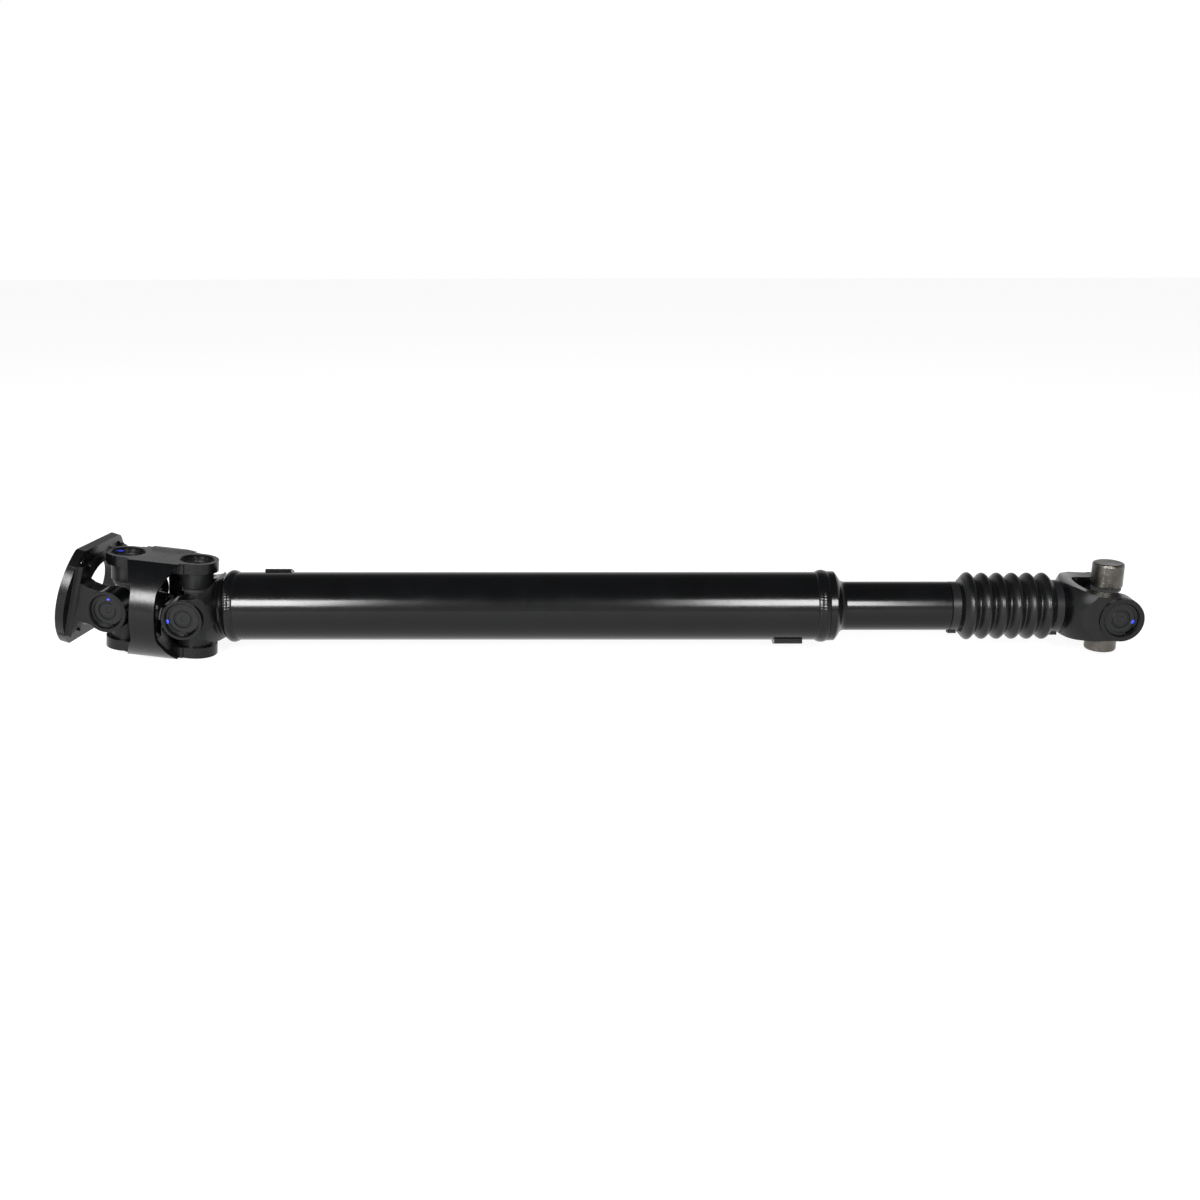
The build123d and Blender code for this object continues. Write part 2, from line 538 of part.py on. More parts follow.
with BuildPart() as boot_clamp_front_drawn:
    with BuildSketch(Plane.YZ.offset(cuff_start_x + 1.0)):
        Circle(cuff_seat_r + 1.5 + clamp_t)
        Circle(cuff_seat_r + 1.5, mode=Mode.SUBTRACT)
    extrude(amount=clamp_w - 0.6)
    with BuildSketch(Plane.YZ.offset(cuff_start_x + 1.0)):
        with Locations(Location((0, 0), 262)):
            with Locations((cuff_seat_r + 1.5 + 1.8, 0)):
                Rectangle(3.4, 7.2)
                Rectangle(1.8, 5.2, mode=Mode.SUBTRACT)
        Circle(cuff_seat_r + 1.5, mode=Mode.SUBTRACT)
    extrude(amount=clamp_w - 0.6)
with BuildPart() as boot_clamp_front:
    add(boot_clamp_front_drawn.part.moved(shaft_at))

with BuildPart() as boot_clamp_rear_drawn:
    with BuildSketch(Plane.YZ.offset(rear_cuff_x0 + 0.6)):
        Circle(stub_seat_r + 1.8 + clamp_t)
        Circle(stub_seat_r + 1.8, mode=Mode.SUBTRACT)
    extrude(amount=clamp_w)
    with BuildSketch(Plane.YZ.offset(rear_cuff_x0 + 0.6)):
        with Locations(Location((0, 0), 262)):
            with Locations((stub_seat_r + 1.8 + 1.8, 0)):
                Rectangle(3.4, 7.2)
                Rectangle(1.8, 5.2, mode=Mode.SUBTRACT)
        Circle(stub_seat_r + 1.8, mode=Mode.SUBTRACT)
    extrude(amount=clamp_w)
with BuildPart() as boot_clamp_rear:
    add(boot_clamp_rear_drawn.part.moved(shaft_at))

# ======== crosses ========
with BuildPart() as rear_cross:
    add(spider_unit.part.moved(rear_cross_at))
with BuildPart() as front_cross:
    add(spider_unit.part.moved(front_cross_at))
with BuildPart() as end_cross:
    add(spider_unit.part.moved(end_at))

with BuildPart() as rear_cross_seals:
    for turn in (Rot(0, 0, 0), to_nz, to_y, to_ny):
        add(seal_unit.part.moved(rear_cross_at * turn))
with BuildPart() as front_cross_seals:
    for turn in (Rot(0, 0, 0), to_nz, to_y, to_ny):
        add(seal_unit.part.moved(front_cross_at * turn))
with BuildPart() as end_cross_seals:
    for turn in (Rot(0, 0, 0), to_nz, to_y, to_ny):
        add(seal_unit.part.moved(end_at * turn))

with BuildPart() as rear_needle_sets:
    for turn in (Rot(0, 0, 0), to_nz, to_y, to_ny):
        add(needle_unit.part.moved(rear_cross_at * turn))
with BuildPart() as front_needle_sets:
    for turn in (Rot(0, 0, 0), to_nz, to_y, to_ny):
        add(needle_unit.part.moved(front_cross_at * turn))
with BuildPart() as end_needle_sets:
    for turn in (Rot(0, 0, 0), to_nz, to_y, to_ny):
        add(needle_unit.part.moved(end_at * turn))

with BuildPart() as rear_grease_fitting:
    add(zerk_unit.part.moved(rear_cross_at * Rot(0, 90, 0) * Pos(0, 0, 9.5)))
with BuildPart() as front_grease_fitting:
    add(zerk_unit.part.moved(front_cross_at * Rot(0, -90, 0) * Pos(0, 0, 9.5)))
with BuildPart() as end_grease_fitting:
    add(zerk_unit.part.moved(end_at * Rot(0, 90, 0) * Pos(0, 0, 9.5)))

# ======== cups and snap rings in the ears ========
with BuildPart() as shaft_yoke_cups:
    for turn in (to_y, to_ny):
        add(cup_unit.part.moved(rear_at * turn))
with BuildPart() as shaft_yoke_snap_rings:
    for turn in (to_y, to_ny):
        add(ring_unit.part.moved(rear_at * turn * Rot(0, 0, -60)))
with BuildPart() as coupling_yoke_cups:
    for s in (1, -1):
        for turn in (Rot(0, 0, 0), to_nz):
            add(cup_unit.part.moved(link_at * Pos(s * cross_spacing / 2, 0, 0) * turn))
with BuildPart() as coupling_yoke_snap_rings:
    for s in (1, -1):
        for turn in (Rot(0, 0, 0), to_nz):
            add(ring_unit.part.moved(link_at * Pos(s * cross_spacing / 2, 0, 0) * turn * Rot(0, 0, -75)))
with BuildPart() as flange_yoke_cups:
    for turn in (to_y, to_ny):
        add(cup_unit.part.moved(flange_at * turn))
with BuildPart() as flange_yoke_snap_rings:
    for turn in (to_y, to_ny):
        add(ring_unit.part.moved(flange_at * turn * Rot(0, 0, -40)))
with BuildPart() as slip_yoke_cups:
    for turn in (to_y, to_ny):
        add(cup_unit.part.moved(end_at * turn))
with BuildPart() as slip_yoke_snap_rings:
    for turn in (to_y, to_ny):
        add(ring_unit.part.moved(end_at * turn * Rot(0, 0, -50)))
with BuildPart() as free_cup_upper:
    add(free_cup_unit.part.moved(end_at))
with BuildPart() as free_cup_lower:
    add(free_cup_unit.part.moved(end_at * to_nz))

# ======== files ========
main_tube.part.label = "main_tube"
export_step(main_tube.part, "parts/main_tube.step")
shaft_yoke.part.label = "shaft_yoke"
export_step(shaft_yoke.part, "parts/shaft_yoke.step")
yoke_weld_bead.part.label = "yoke_weld_bead"
export_step(yoke_weld_bead.part, "parts/yoke_weld_bead.step")
slip_sleeve.part.label = "slip_sleeve"
export_step(slip_sleeve.part, "parts/slip_sleeve.step")
sleeve_weld_bead.part.label = "sleeve_weld_bead"
export_step(sleeve_weld_bead.part, "parts/sleeve_weld_bead.step")
sleeve_plug.part.label = "sleeve_plug"
export_step(sleeve_plug.part, "parts/sleeve_plug.step")
balance_weight_front.part.label = "balance_weight_front"
export_step(balance_weight_front.part, "parts/balance_weight_front.step")
balance_weight_rear.part.label = "balance_weight_rear"
export_step(balance_weight_rear.part, "parts/balance_weight_rear.step")
shaft_yoke_cups.part.label = "shaft_yoke_cups"
export_step(shaft_yoke_cups.part, "parts/shaft_yoke_cups.step")
shaft_yoke_snap_rings.part.label = "shaft_yoke_snap_rings"
export_step(shaft_yoke_snap_rings.part, "parts/shaft_yoke_snap_rings.step")
stud_yoke.part.label = "stud_yoke"
export_step(stud_yoke.part, "parts/stud_yoke.step")
boot.part.label = "boot"
export_step(boot.part, "parts/boot.step")
boot_clamp_front.part.label = "boot_clamp_front"
export_step(boot_clamp_front.part, "parts/boot_clamp_front.step")
rear_cross.part.label = "rear_cross"
export_step(rear_cross.part, "parts/rear_cross.step")
rear_cross_seals.part.label = "rear_cross_seals"
export_step(rear_cross_seals.part, "parts/rear_cross_seals.step")
rear_needle_sets.part.label = "rear_needle_sets"
export_step(rear_needle_sets.part, "parts/rear_needle_sets.step")
rear_grease_fitting.part.label = "rear_grease_fitting"
export_step(rear_grease_fitting.part, "parts/rear_grease_fitting.step")
coupling_yoke.part.label = "coupling_yoke"
export_step(coupling_yoke.part, "parts/coupling_yoke.step")
coupling_yoke_cups.part.label = "coupling_yoke_cups"
export_step(coupling_yoke_cups.part, "parts/coupling_yoke_cups.step")
coupling_yoke_snap_rings.part.label = "coupling_yoke_snap_rings"
export_step(coupling_yoke_snap_rings.part, "parts/coupling_yoke_snap_rings.step")
front_cross.part.label = "front_cross"
export_step(front_cross.part, "parts/front_cross.step")
front_cross_seals.part.label = "front_cross_seals"
export_step(front_cross_seals.part, "parts/front_cross_seals.step")
front_needle_sets.part.label = "front_needle_sets"
export_step(front_needle_sets.part, "parts/front_needle_sets.step")
front_grease_fitting.part.label = "front_grease_fitting"
export_step(front_grease_fitting.part, "parts/front_grease_fitting.step")
flange_yoke.part.label = "flange_yoke"
export_step(flange_yoke.part, "parts/flange_yoke.step")
flange_yoke_cups.part.label = "flange_yoke_cups"
export_step(flange_yoke_cups.part, "parts/flange_yoke_cups.step")
flange_yoke_snap_rings.part.label = "flange_yoke_snap_rings"
export_step(flange_yoke_snap_rings.part, "parts/flange_yoke_snap_rings.step")
socket_yoke.part.label = "socket_yoke"
export_step(socket_yoke.part, "parts/socket_yoke.step")
socket_grease_fitting.part.label = "socket_grease_fitting"
export_step(socket_grease_fitting.part, "parts/socket_grease_fitting.step")
slip_yoke.part.label = "slip_yoke"
export_step(slip_yoke.part, "parts/slip_yoke.step")
slip_yoke_cups.part.label = "slip_yoke_cups"
export_step(slip_yoke_cups.part, "parts/slip_yoke_cups.step")
slip_yoke_snap_rings.part.label = "slip_yoke_snap_rings"
export_step(slip_yoke_snap_rings.part, "parts/slip_yoke_snap_rings.step")
boot_clamp_rear.part.label = "boot_clamp_rear"
export_step(boot_clamp_rear.part, "parts/boot_clamp_rear.step")
end_cross.part.label = "end_cross"
export_step(end_cross.part, "parts/end_cross.step")
end_cross_seals.part.label = "end_cross_seals"
export_step(end_cross_seals.part, "parts/end_cross_seals.step")
end_needle_sets.part.label = "end_needle_sets"
export_step(end_needle_sets.part, "parts/end_needle_sets.step")
end_grease_fitting.part.label = "end_grease_fitting"
export_step(end_grease_fitting.part, "parts/end_grease_fitting.step")
free_cup_upper.part.label = "free_cup_upper"
export_step(free_cup_upper.part, "parts/free_cup_upper.step")
free_cup_lower.part.label = "free_cup_lower"
export_step(free_cup_lower.part, "parts/free_cup_lower.step")
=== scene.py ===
"""Universal joint shaft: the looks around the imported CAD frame. Metres, row frame."""

import json
import math

import bmesh
import bpy
from mathutils import Matrix, Vector


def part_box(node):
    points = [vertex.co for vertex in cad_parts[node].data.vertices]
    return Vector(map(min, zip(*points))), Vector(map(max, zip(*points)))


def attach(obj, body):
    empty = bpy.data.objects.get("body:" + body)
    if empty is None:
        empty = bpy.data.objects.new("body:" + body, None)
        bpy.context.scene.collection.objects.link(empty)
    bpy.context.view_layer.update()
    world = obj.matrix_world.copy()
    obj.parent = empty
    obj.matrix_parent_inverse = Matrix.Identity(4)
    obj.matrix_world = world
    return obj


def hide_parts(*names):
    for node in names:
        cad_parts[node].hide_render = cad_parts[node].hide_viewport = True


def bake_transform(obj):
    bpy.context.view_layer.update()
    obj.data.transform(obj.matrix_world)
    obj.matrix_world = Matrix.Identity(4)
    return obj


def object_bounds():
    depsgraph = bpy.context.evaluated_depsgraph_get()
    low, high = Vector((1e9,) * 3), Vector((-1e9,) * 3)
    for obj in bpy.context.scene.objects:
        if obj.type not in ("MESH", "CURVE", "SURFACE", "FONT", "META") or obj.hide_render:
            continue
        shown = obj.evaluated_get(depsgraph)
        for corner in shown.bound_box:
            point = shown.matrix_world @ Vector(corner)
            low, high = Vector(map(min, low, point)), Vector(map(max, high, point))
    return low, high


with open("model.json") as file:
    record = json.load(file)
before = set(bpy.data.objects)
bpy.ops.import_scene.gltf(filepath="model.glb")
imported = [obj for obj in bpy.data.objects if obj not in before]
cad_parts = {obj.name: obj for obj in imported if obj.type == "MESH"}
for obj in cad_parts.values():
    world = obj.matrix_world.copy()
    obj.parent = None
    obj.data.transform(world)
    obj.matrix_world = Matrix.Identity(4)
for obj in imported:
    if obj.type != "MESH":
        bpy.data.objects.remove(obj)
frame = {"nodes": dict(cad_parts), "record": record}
NODES = frame["nodes"]
CAD_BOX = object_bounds()
MM = 0.001


def centre(node):
    """Middle of a CAD node's box."""
    low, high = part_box(node)
    return (Vector(low) + Vector(high)) / 2


def joint(name):
    """Pivot and axis of a joint, in the row frame."""
    joints = frame["record"]["behaviour"]["joints"]
    found = next(j for j in joints if j["name"] == name)
    return Vector(found["pos_m"]), Vector(found["axis"])


AXIS = centre("main_tube")                      # the shaft's own axis
REAR, _ = joint("rear_cross_pivot")
END, _ = joint("end_cross_pivot")


# ---- materials -------------------------------------------------------------------------
def new_material(name):
    mat = bpy.data.materials.new(name)
    mat.use_nodes = True
    tree = mat.node_tree
    shader = tree.nodes["Principled BSDF"]
    return mat, tree, shader


def node(tree, kind, **values):
    """Adds a node. Values name its properties or its input sockets."""
    made = tree.nodes.new(kind)
    for key, value in values.items():
        if hasattr(made, key):
            setattr(made, key, value)
        else:
            made.inputs[key.replace("_", " ")].default_value = value
    return made


def noise(tree, coords, scale, detail=3.0, rough=0.5):
    made = node(tree, "ShaderNodeTexNoise", Scale=scale, Detail=detail, Roughness=rough)
    tree.links.new(coords, made.inputs["Vector"])
    return made.outputs["Fac"]


def ramp(tree, value, low, high, out_low, out_high):
    """Maps value from low..high to out_low..out_high, clamped."""
    made = node(tree, "ShaderNodeMapRange")
    limits = {"From Min": low, "From Max": high, "To Min": out_low, "To Max": out_high}
    for key, number in limits.items():
        made.inputs[key].default_value = number
    tree.links.new(value, made.inputs["Value"])
    return made.outputs["Result"]


def mix_colour(tree, factor, a, b):
    made = tree.nodes.new("ShaderNodeMix")
    made.data_type = "RGBA"
    for socket, value in ((made.inputs[6], a), (made.inputs[7], b)):
        if isinstance(value, tuple):
            socket.default_value = (*value, 1)
        else:
            tree.links.new(value, socket)
    tree.links.new(factor, made.inputs[0])
    return made.outputs[2]


def bump(tree, shader, height, strength, distance, below=None):
    made = node(tree, "ShaderNodeBump", Strength=strength, Distance=distance)
    tree.links.new(height, made.inputs["Height"])
    if below is not None:
        tree.links.new(below, made.inputs["Normal"])
    tree.links.new(made.outputs["Normal"], shader.inputs["Normal"])
    return made.outputs["Normal"]


def object_coords(tree):
    return tree.nodes.new("ShaderNodeTexCoord").outputs["Object"]


PAINT_IOR = 1.33
RUBBER_IOR = 1.36


def scaled(colour, factor):
    return tuple(c * factor for c in colour)


def paint(name, base, rough, rough_spread, peel, grain=0.0, grain_scale=900.0):
    """Black chassis paint: peel is the orange peel, grain the cast or forged skin under it."""
    mat, tree, shader = new_material(name)
    coords = object_coords(tree)
    cloud = noise(tree, coords, 28.0, 4.0, 0.6)
    dust = noise(tree, coords, 420.0, 2.0, 0.5)
    tone = ramp(tree, cloud, 0.3, 0.7, 0.0, 1.0)
    colour = mix_colour(tree, tone, base, scaled(base, 1.5))
    tree.links.new(colour, shader.inputs["Base Color"])
    add = node(tree, "ShaderNodeMath", operation="ADD")
    cloudy = ramp(tree, cloud, 0.3, 0.7, rough - rough_spread, rough + rough_spread)
    tree.links.new(cloudy, add.inputs[0])
    tree.links.new(ramp(tree, dust, 0.55, 0.75, 0.0, 0.05), add.inputs[1])
    tree.links.new(add.outputs[0], shader.inputs["Roughness"])
    shader.inputs["IOR"].default_value = PAINT_IOR
    normal = bump(tree, shader, noise(tree, coords, 260.0, 2.0, 0.4), peel, 0.0003)
    if grain:
        bump(tree, shader, noise(tree, coords, grain_scale, 5.0, 0.65), grain, 0.0004, normal)
    return mat


def bare_steel(name, base, rough, ring_axis=2, lines_strength=0.25):
    """Ground steel with fine rings round one axis, and darker stains."""
    mat, tree, shader = new_material(name)
    coords = object_coords(tree)
    stretch = node(tree, "ShaderNodeMapping")
    across_rings, along_rings = 2600.0, 30.0
    scales = [across_rings if i == ring_axis else along_rings for i in range(3)]
    stretch.inputs["Scale"].default_value = scales
    tree.links.new(coords, stretch.inputs["Vector"])
    lines = noise(tree, stretch.outputs[0], 1.0, 3.0, 0.6)
    stain = noise(tree, coords, 90.0, 5.0, 0.6)
    tone = ramp(tree, stain, 0.35, 0.7, 0.0, 1.0)
    colour = mix_colour(tree, tone, base, scaled(base, 0.62))
    tree.links.new(colour, shader.inputs["Base Color"])
    uneven = ramp(tree, stain, 0.3, 0.7, rough - 0.06, rough + 0.1)
    tree.links.new(uneven, shader.inputs["Roughness"])
    shader.inputs["Metallic"].default_value = 1.0
    bump(tree, shader, lines, lines_strength, 0.0002)
    return mat


def rubber(name, base, rough, sheen=0.15):
    mat, tree, shader = new_material(name)
    coords = object_coords(tree)
    cloud = noise(tree, coords, 60.0, 4.0, 0.6)
    bloom = ramp(tree, cloud, 0.4, 0.75, 0.0, 1.0)
    colour = mix_colour(tree, bloom, base, scaled(base, 1.9))
    tree.links.new(colour, shader.inputs["Base Color"])
    uneven = ramp(tree, cloud, 0.3, 0.7, rough - 0.05, rough + 0.08)
    tree.links.new(uneven, shader.inputs["Roughness"])
    shader.inputs["IOR"].default_value = RUBBER_IOR
    shader.inputs["Sheen Weight"].default_value = sheen
    shader.inputs["Sheen Roughness"].default_value = 0.4
    bump(tree, shader, noise(tree, coords, 1500.0, 3.0, 0.5), 0.12, 0.0002)
    return mat


BLACK = (0.0013, 0.0014, 0.0016)
TUBE_PAINT = paint("tube_paint", BLACK, 0.17, 0.02, 0.05)
FORGED_PAINT = paint("forged_paint", BLACK, 0.24, 0.05, 0.10, 0.06, 700.0)
CAST_PAINT = paint("cast_paint", BLACK, 0.24, 0.05, 0.09, 0.07, 620.0)
CAP_PAINT = paint("cap_paint", (0.0035, 0.0037, 0.004), 0.33, 0.05, 0.08, 0.08, 1400.0)
WELD_PAINT = paint("weld_paint", BLACK, 0.2, 0.05, 0.10, 0.2, 600.0)
CLAMP_PAINT = paint("clamp_black", (0.005, 0.005, 0.0055), 0.3, 0.05, 0.05)
CAP_STEEL = bare_steel("cap_steel", (0.115, 0.108, 0.096), 0.28, lines_strength=0.9)
CROSS_STEEL = bare_steel("cross_steel", (0.16, 0.155, 0.15), 0.42)
ZINC = bare_steel("zinc_plate", (0.42, 0.42, 0.40), 0.36)
BOOT_RUBBER = rubber("boot_rubber", (0.002, 0.0021, 0.0023), 0.27, 0.01)
SEAL_RUBBER = rubber("seal_rubber", (0.012, 0.012, 0.012), 0.55)

CROSSES = ("rear", "front", "end")
FINISH = {
    "main_tube": TUBE_PAINT, "slip_sleeve": TUBE_PAINT,
    "shaft_yoke": FORGED_PAINT, "slip_yoke": FORGED_PAINT,
    "stud_yoke": FORGED_PAINT, "socket_yoke": FORGED_PAINT,
    "balance_weight_front": FORGED_PAINT, "balance_weight_rear": FORGED_PAINT,
    "flange_yoke": CAST_PAINT, "coupling_yoke": CAST_PAINT,
    "yoke_weld_bead": WELD_PAINT, "sleeve_weld_bead": WELD_PAINT,
    "sleeve_plug": CLAMP_PAINT, "boot_clamp_front": CLAMP_PAINT, "boot_clamp_rear": CLAMP_PAINT,
    "boot": BOOT_RUBBER, "socket_grease_fitting": ZINC,
    "free_cup_upper": CAP_STEEL, "free_cup_lower": CAP_STEEL,
}
for end in CROSSES:
    FINISH[f"{end}_cross"] = FINISH[f"{end}_needle_sets"] = CROSS_STEEL
    FINISH[f"{end}_grease_fitting"] = ZINC
    FINISH[f"{end}_cross_seals"] = SEAL_RUBBER
for name, made in NODES.items():
    finish = FINISH.get(name, CAP_PAINT)
    for place in made.material_slots:
        place.material = finish

# Rounded edges on the forged, cast and turned pieces, in mm.
EDGE_ROUND = {
    "flange_yoke": 1.6, "coupling_yoke": 1.6, "shaft_yoke": 1.6, "slip_yoke": 1.8,
    "balance_weight_front": 0.5, "balance_weight_rear": 0.6,
    "stud_yoke": 0.8, "socket_yoke": 0.8, "slip_sleeve": 0.4,
}
SHARP_EDGE = math.radians(38)
for name, width in EDGE_ROUND.items():
    rounding = NODES[name].modifiers.new("edge_round", "BEVEL")
    rounding.width = width * MM
    rounding.segments = 4
    rounding.limit_method = "ANGLE"
    rounding.angle_limit = SHARP_EDGE
    rounding.harden_normals = True


# ---- lathe -----------------------------------------------------------------------------
def to_object(name, bm):
    """Turns a finished bmesh into an object of the scene."""
    bmesh.ops.recalc_face_normals(bm, faces=bm.faces)
    mesh = bpy.data.meshes.new(name)
    bm.to_mesh(mesh)
    bm.free()
    made = bpy.data.objects.new(name, mesh)
    bpy.context.collection.objects.link(made)
    return made


def lathe(name, outline, turns, wobble=None):
    """A closed solid turned about the shaft axis.

    The outline is (x, r) points, and wobble gives what to add to r at an angle."""
    bm = bmesh.new()
    rings = []
    for k in range(turns):
        a = 2 * math.pi * k / turns
        ring = []
        for i, (x, r) in enumerate(outline):
            reach = r + (wobble(i, a) if wobble else 0.0)
            point = (x, AXIS.y + reach * math.cos(a), AXIS.z + reach * math.sin(a))
            ring.append(bm.verts.new(point))
        rings.append(ring)
    n = len(outline)
    for k in range(turns):
        one, two = rings[k], rings[(k + 1) % turns]
        for i in range(n):
            bm.faces.new((one[i], one[(i + 1) % n], two[(i + 1) % n], two[i]))
    made = to_object(name, bm)
    for poly in made.data.polygons:
        poly.use_smooth = True
    return made


# ---- boot ------------------------------------------------------------------------------
FOLDS, FOLD_PITCH = 6, 13.98 * MM
FIRST_CREST_X = 345.0 * MM
CREST_R, VALLEY_R, WALL = 31.0 * MM, 25.2 * MM, 1.7 * MM
FIRST_CREST_EXTRA = 0.5 * MM                    # the first fold stands a little prouder
FRONT_CUFF_R, REAR_CUFF_R = 20.4 * MM, 21.6 * MM
CUFF_GAP = 0.1 * MM
FOLD_STEPS = 14
FOLD_ROUNDNESS = 0.62                           # below 1 widens the crests


def boot_outline():
    """Outer and inner wall of the boot, front cuff to rear cuff, as smooth folds."""
    low, high = (Vector(v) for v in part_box("boot"))
    front_clamp, rear_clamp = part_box("boot_clamp_front"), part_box("boot_clamp_rear")
    last_crest_x = FIRST_CREST_X + (FOLDS - 1) * FOLD_PITCH
    outer = [
        (low.x, FRONT_CUFF_R + 0.4 * MM),
        (low.x + 0.4 * MM, FRONT_CUFF_R + 1.4 * MM),
        (front_clamp[1][0] + 1.0 * MM, FRONT_CUFF_R + 1.5 * MM),
        (FIRST_CREST_X - 8.2 * MM, FRONT_CUFF_R + 2.4 * MM),
        (FIRST_CREST_X - 6.6 * MM, FRONT_CUFF_R + 4.0 * MM),
    ]
    half = FOLD_STEPS // 2
    for i in range(FOLDS):
        crest_x = FIRST_CREST_X + i * FOLD_PITCH
        top = CREST_R + (FIRST_CREST_EXTRA if i == 0 else 0.0)
        shared_valley = i < FOLDS - 1
        for step in range(-half, half if shared_valley else half + 1):
            u = step / half
            shape = (0.5 + 0.5 * math.cos(math.pi * u)) ** FOLD_ROUNDNESS
            outer.append((crest_x + u * FOLD_PITCH / 2, VALLEY_R + (top - VALLEY_R) * shape))
    outer += [
        (last_crest_x + 8.0 * MM, REAR_CUFF_R + 2.6 * MM),
        (rear_clamp[0][0] - 1.0 * MM, REAR_CUFF_R + 1.9 * MM),
        (high.x - 0.4 * MM, REAR_CUFF_R + 1.8 * MM),
        (high.x, REAR_CUFF_R + 0.8 * MM),
    ]
    inner = []
    for x, r in reversed(outer[1:-1]):
        cuff_r = FRONT_CUFF_R if x < FIRST_CREST_X else REAR_CUFF_R
        inner.append((x, max(r - WALL, cuff_r + CUFF_GAP)))
    return outer + inner


boot = lathe("boot_rubber_mesh", boot_outline(), turns=128)
boot.data.materials.append(BOOT_RUBBER)
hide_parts("boot")
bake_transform(boot)


# ---- weld beads ------------------------------------------------------------------------
BEAD_POINTS = 13
BEAD_PROUD = 1.95 * MM                          # over the tube
BEAD_ROOT = 3.0 * MM                            # how far the bead goes under its lower foot
RIPPLE_PITCH, RIPPLE_DEPTH = 2.6 * MM, 0.07 * MM
RIPPLE_BOW = 1.7                                # the ripples curve back towards the bead's sides


def weld_bead(name, node_name, peak_at, top_r, foot_r):
    """A rippled bead over the CAD ring of the same place. foot_r is its radius at either side."""
    low, high = (Vector(v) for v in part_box(node_name))
    left, right = foot_r
    outline = []
    for i in range(BEAD_POINTS):
        u = i / (BEAD_POINTS - 1)
        x = low.x + (high.x - low.x) * u
        base = left + (right - left) * u
        if u < peak_at:
            turn = math.pi * min(1.0, u / (2 * peak_at))
        else:
            turn = math.pi * (0.5 + (u - peak_at) / (2 * (1 - peak_at)))
        shape = max(0.0, math.sin(turn)) ** 0.8
        outline.append((x, base + (top_r - base) * shape))
    root_r = min(foot_r) - BEAD_ROOT
    outline += [(high.x, root_r), (low.x, root_r)]
    ripples = round(2 * math.pi * top_r / RIPPLE_PITCH)

    def wobble(i, a):
        if i == 0 or i >= BEAD_POINTS - 1:
            return 0.0
        u = i / (BEAD_POINTS - 1)
        depth = RIPPLE_DEPTH * math.sin(math.pi * u)
        bow = RIPPLE_BOW * (2 * u - 1) ** 2
        ripple = math.sin(ripples * a + 2.2 * bow)
        return depth * (ripple + 0.45 * math.sin(3.1 * a + 1.0) + 0.3 * math.sin(11 * a))

    made = lathe(name, outline, ripples * 8, wobble)
    made.data.materials.append(WELD_PAINT)
    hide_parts(node_name)
    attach(made, "shaft_tube")


tube_low, tube_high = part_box("main_tube")
tube_r = (tube_high[2] - tube_low[2]) / 2
bead_r, on_tube = tube_r + BEAD_PROUD, tube_r + 0.05 * MM
weld_bead("yoke_weld_bead_mesh", "yoke_weld_bead", 0.58, bead_r, (28.3 * MM, on_tube))
weld_bead("sleeve_weld_bead_mesh", "sleeve_weld_bead", 0.5, bead_r, (on_tube, 32.2 * MM))


# ---- inspection dabs -------------------------------------------------------------------
def blue_mark():
    mat, tree, shader = new_material("blue_mark")
    coords = object_coords(tree)
    thick, thin = (0.03, 0.06, 0.62), (0.01, 0.015, 0.20)
    cloud = ramp(tree, noise(tree, coords, 900.0, 4.0, 0.6), 0.35, 0.7, 0.0, 1.0)
    tree.links.new(mix_colour(tree, cloud, thick, thin), shader.inputs["Base Color"])
    tree.links.new(ramp(tree, cloud, 0.0, 1.0, 0.3, 0.5), shader.inputs["Roughness"])
    bump(tree, shader, cloud, 0.2, 0.0002)
    return mat


BLUE = blue_mark()
DAB_SIDES = 24
DAB_TOP, DAB_EDGE, DAB_SUNK = 0.22 * MM, 0.08 * MM, 0.3 * MM


def dab(name, body, foot, normal, u, v, size):
    """A dab of blue paint. foot is a point on the face, u and v run along the face.

    u, v and size are in mm."""
    normal = normal.normalized()
    along = (Vector((1, 0, 0)) - normal * normal.x).normalized()
    across = normal.cross(along)
    middle = foot + (along * u + across * v) * MM
    bm = bmesh.new()
    top = bm.verts.new(middle + normal * DAB_TOP)
    under = bm.verts.new(middle - normal * DAB_SUNK)
    edge, foot_ring = [], []
    for k in range(DAB_SIDES):
        a = 2 * math.pi * k / DAB_SIDES
        uneven = 0.16 * math.sin(2 * a + u) + 0.10 * math.sin(3 * a + v) + 0.06 * math.sin(7 * a)
        r = size * MM * (1 + uneven)
        out = along * math.cos(a) * r + across * math.sin(a) * r * 0.85
        edge.append(bm.verts.new(middle + out + normal * DAB_EDGE))
        foot_ring.append(bm.verts.new(middle + out - normal * DAB_SUNK))
    for k in range(DAB_SIDES):
        n = (k + 1) % DAB_SIDES
        bm.faces.new((top, edge[k], edge[n]))
        bm.faces.new((edge[k], foot_ring[k], foot_ring[n], edge[n]))
        bm.faces.new((under, foot_ring[n], foot_ring[k]))
    made = to_object(name, bm)
    made.data.materials.append(BLUE)
    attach(made, body)


def half_span(name):
    """Half of a node's width across the shaft."""
    low, high = (Vector(v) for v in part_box(name))
    return (high.y - low.y) / 2


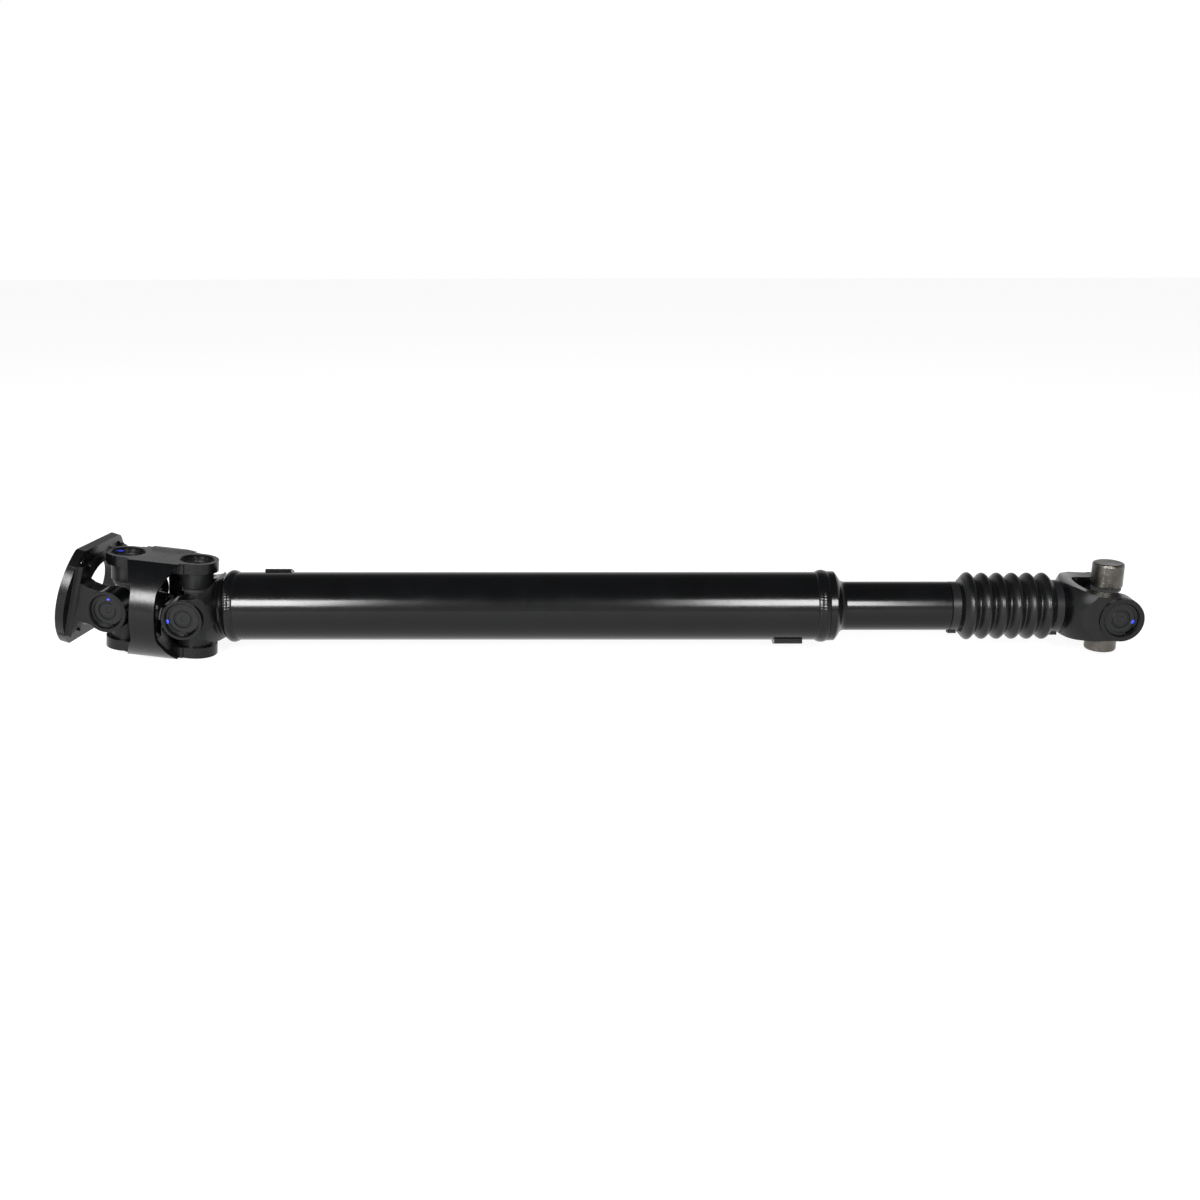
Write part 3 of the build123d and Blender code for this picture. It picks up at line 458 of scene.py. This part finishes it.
CUP_REACH, RING_REACH = half_span("shaft_yoke_cups"), half_span("shaft_yoke_snap_rings")
FRONT, FLANGE_HINGE = joint("flange_yoke_pivot")
_, LINK_HINGE = joint("coupling_yoke_pivot")
NEAR = Vector((0, -1, 0))
dab("blue_dab_shaft", "shaft_tube", REAR + NEAR * RING_REACH, NEAR, -14.2, -1.9, 1.9)
dab("blue_dab_slip", "slip_yoke", END + NEAR * CUP_REACH, NEAR, 11.5, -2.9, 1.9)
dab("blue_dab_flange", "flange_yoke", FRONT - FLANGE_HINGE * CUP_REACH, -FLANGE_HINGE, 1.7, 10.4, 1.3)
dab("blue_dab_link", "coupling_yoke", FRONT + LINK_HINGE * RING_REACH, LINK_HINGE, -10.8, 8.6, 3.2)

# ---- floor, light and camera -----------------------------------------------------------
FLOOR_SIZE, FLOOR_GAP = 14, 0.0005
bpy.ops.mesh.primitive_plane_add(size=FLOOR_SIZE, location=(0, 0, CAD_BOX[0][2] - FLOOR_GAP))
floor = bpy.context.object
floor.name = "floor"
floor_mat, _, floor_shader = new_material("floor_white")
floor_shader.inputs["Base Color"].default_value = (0.25, 0.25, 0.25, 1)
floor_shader.inputs["Roughness"].default_value = 0.7
floor_shader.inputs["Emission Color"].default_value = (1, 1, 1, 1)     # a light table
floor_shader.inputs["Emission Strength"].default_value = 0.84
floor.data.materials.append(floor_mat)

# The studio: a white band round the horizon, grey walls over it and a dim ceiling.
HORIZON_LIGHT, BACK_LIGHT, WALL_LIGHT, CEILING_LIGHT = 1.0, 0.6, 0.17, 0.10
world = bpy.data.worlds.new("studio")
bpy.context.scene.world = world
world.use_nodes = True
sky = world.node_tree
rise = node(sky, "ShaderNodeSeparateXYZ")
sky.links.new(sky.nodes.new("ShaderNodeTexCoord").outputs["Generated"], rise.inputs[0])
low = node(sky, "ShaderNodeMath", operation="ADD")
sky.links.new(ramp(sky, rise.outputs["Z"], 0.15, 0.25, HORIZON_LIGHT - BACK_LIGHT, 0.0), low.inputs[0])
sky.links.new(ramp(sky, rise.outputs["Z"], 0.36, 0.52, BACK_LIGHT - WALL_LIGHT, 0.0), low.inputs[1])
level = node(sky, "ShaderNodeMath", operation="ADD")
sky.links.new(low.outputs[0], level.inputs[0])
sky.links.new(ramp(sky, rise.outputs["Z"], 0.55, 0.8, WALL_LIGHT, CEILING_LIGHT), level.inputs[1])
sky.nodes["Background"].inputs["Color"].default_value = (1, 1, 1, 1)
sky.links.new(level.outputs[0], sky.nodes["Background"].inputs["Strength"])


def softbox(name, place, target, size, power, glossy=True):
    """A rectangular lamp that faces target. Power is in watts."""
    data = bpy.data.lights.new(name, "AREA")
    data.shape = "RECTANGLE"
    data.size, data.size_y = size
    data.energy = power
    made = bpy.data.objects.new(name, data)
    bpy.context.collection.objects.link(made)
    made.location = place
    made.rotation_euler = (Vector(target) - Vector(place)).to_track_quat("-Z", "Y").to_euler()
    made.visible_glossy = glossy


softbox("left_panel", (-0.80, -1.36, 0.72), (-0.35, 0, 0.05), (0.50, 0.50), 37)
softbox("right_panel", (0.40, -1.36, 0.72), (0.2, 0, 0.05), (0.36, 0.50), 24)
softbox("floor_wash", (0.0, 0.2, 2.6), (0, 0.2, 0), (4.0, 4.0), 30, glossy=False)
softbox("left_box", (-1.9, -1.1, 1.0), (-0.4, 0, 0.05), (0.7, 0.7), 10)

# The camera: angles and distance are fitted to the object's outline.
SENSOR_MM = 36
SHIFT_PX = 5.78
FRAME_PX = 1200
FOCAL_PX = 1328.9
LOOK_DOWN, YAW, ROLL = (math.radians(a) for a in (16.64, -0.47, -0.15))
STAND_OFF = 1.2428
AIM = Vector((3.7 * MM, AXIS.y, AXIS.z))
level_reach = math.cos(LOOK_DOWN)
look = Vector((math.sin(YAW) * level_reach, math.cos(YAW) * level_reach, -math.sin(LOOK_DOWN)))
right = Vector((math.cos(YAW), -math.sin(YAW), 0))
up = right.cross(look)
cos_roll, sin_roll = math.cos(ROLL), math.sin(ROLL)
right, up = right * cos_roll + up * sin_roll, up * cos_roll - right * sin_roll
camera_data = bpy.data.cameras.new("camera")
camera_data.sensor_width = SENSOR_MM
camera_data.lens = SENSOR_MM * FOCAL_PX / FRAME_PX
camera_data.shift_y = SHIFT_PX / FRAME_PX
camera_data.clip_start = 0.01
camera = bpy.data.objects.new("camera", camera_data)
bpy.context.collection.objects.link(camera)
turn = Matrix((right, up, -look)).transposed().to_4x4()
camera.matrix_world = Matrix.Translation(AIM - STAND_OFF * look) @ turn
bpy.context.scene.camera = camera
bpy.context.scene.view_settings.view_transform = "Standard"
